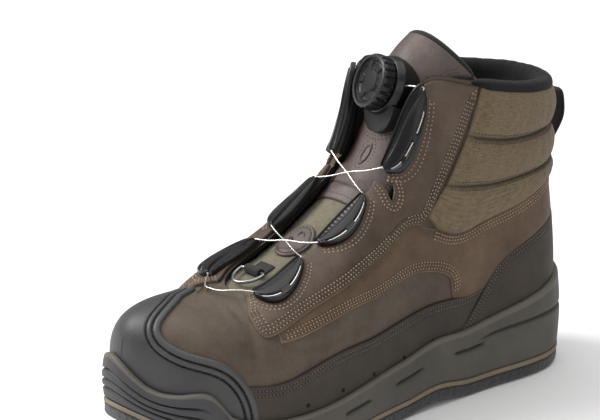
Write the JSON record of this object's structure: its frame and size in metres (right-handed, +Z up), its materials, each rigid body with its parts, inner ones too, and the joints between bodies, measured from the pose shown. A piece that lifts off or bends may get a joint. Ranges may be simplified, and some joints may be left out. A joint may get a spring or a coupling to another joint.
{
  "type": "wading boot",
  "caption": "Laced ankle boot for wading: felt outsole, cupped midsole, hollow leather upper with rubber toe cap, padded cuff, tongue and lace dial.",
  "frame": {"origin": "on the floor, in the middle of the outsole's length, on the line between heel and toe", "axes": "+Z up, -Y towards the toe, +Y towards the heel, +X the outer side of the left foot"},
  "size_m": [0.1147, 0.3225, 0.2117],
  "materials": {
    "leather": "matt, waxed brown leather",
    "rubber": "matt, coated",
    "canvas": "khaki weave",
    "midsole": "matt, moulded",
    "stripe": "matt tan",
    "felt": "dense black felt",
    "lining": "black knit",
    "plastic": "black, glossy",
    "webbing": "black woven tape",
    "steel": "bright steel wire"
  },
  "bodies": {
    "boot": {"upper": "leather", "outsole": "felt", "sole_stripe": "stripe", "midsole": "midsole", "insole": "lining", "toe_cap": "rubber", "heel_counter": "rubber", "collar_cuff": "canvas", "rand_outer": "rubber", "rand_inner": "rubber", "quarter_outer": "leather", "quarter_inner": "leather", "eyestay_outer": "leather", "eyestay_inner": "leather", "tongue": "canvas", "tongue_leather": "leather", "tongue_patch": "leather", "dial_base": "plastic", "dial_knob": "plastic", "lace_guide_top_outer": "plastic", "lace_guide_top_inner": "plastic", "lace_guide_middle_outer": "plastic", "lace_guide_middle_inner": "plastic", "lace_guide_low_outer": "plastic", "lace_guide_low_inner": "plastic", "lace_crossing_top": "steel", "lace_crossing_low": "steel", "lace_front": "steel", "lace_top_outer": "steel", "lace_top_inner": "steel", "d_ring_loop": "webbing", "pull_loop": "webbing"},
    "d_ring": {"d_ring": "steel"}
  },
  "joints": [
    {"name": "d_ring_swing", "type": "hinge", "parent": "boot", "child": "d_ring", "pos_m": [-0.00302, -0.06593, 0.09463], "axis": [-1, 0, 0], "range_deg": [0, 120]}
  ]
}
